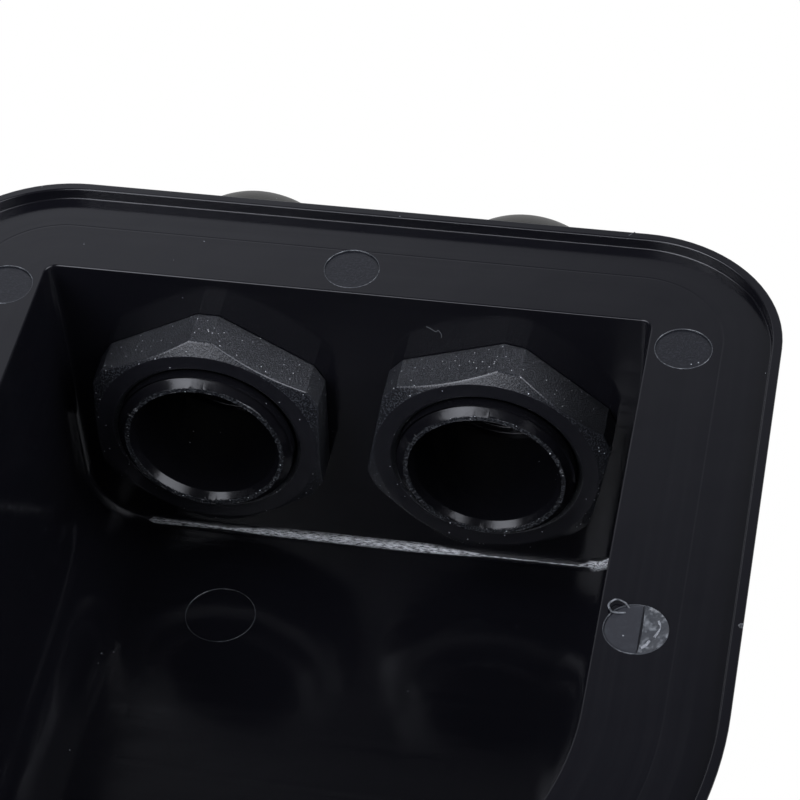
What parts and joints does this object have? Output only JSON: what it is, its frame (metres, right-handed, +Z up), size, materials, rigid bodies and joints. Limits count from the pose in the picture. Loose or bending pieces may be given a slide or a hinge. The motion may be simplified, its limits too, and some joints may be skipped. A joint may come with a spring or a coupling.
{
  "type": "roof cable entry box",
  "caption": "Glue-down roof hood, open underneath, with a rimmed flange, a sloping round nose and cable glands through its upright end wall whose domed cap nuts unscrew.",
  "frame": {"origin": "middle of the flange, on the plane where its rim meets the roof", "axes": "+Z up from the roof, glands point to -Y, the round nose to +Y, +X to the right seen from the glands"},
  "size_m": [0.094, 0.1268, 0.0432],
  "materials": {
    "abs": "glossy moulded black ABS",
    "nylon": "satin moulded black nylon",
    "rubber": "matt black rubber"
  },
  "bodies": {
    "box": {"box_body": "abs", "lock_nut_left": "nylon", "lock_nut_right": "nylon", "gasket_left": "rubber", "gasket_right": "rubber", "gland_body_left": "nylon", "gland_body_right": "nylon"},
    "left_seal": {"seal_left": "rubber"},
    "left_cap": {"cap_nut_left": "nylon"},
    "right_seal": {"seal_right": "rubber"},
    "right_cap": {"cap_nut_right": "nylon"}
  },
  "joints": [
    {"name": "left_cap_travel", "type": "slide", "parent": "box", "child": "left_seal", "axis": [0, -1, 0], "range_m": [0, 0.006]},
    {"name": "left_cap_turn", "type": "hinge", "parent": "left_seal", "child": "left_cap", "pos_m": [-0.0157, -0.0625, 0.0206], "axis": [0, -1, 0], "range_deg": [0, 1440]},
    {"name": "right_cap_travel", "type": "slide", "parent": "box", "child": "right_seal", "axis": [0, -1, 0], "range_m": [0, 0.006]},
    {"name": "right_cap_turn", "type": "hinge", "parent": "right_seal", "child": "right_cap", "pos_m": [0.0157, -0.0625, 0.0206], "axis": [0, -1, 0], "range_deg": [0, 1440]}
  ],
  "couplings": [
    {"joint": "left_cap_travel", "follows": "left_cap_turn", "m_per_rad": 0.0002387},
    {"joint": "right_cap_travel", "follows": "right_cap_turn", "m_per_rad": 0.0002387}
  ]
}
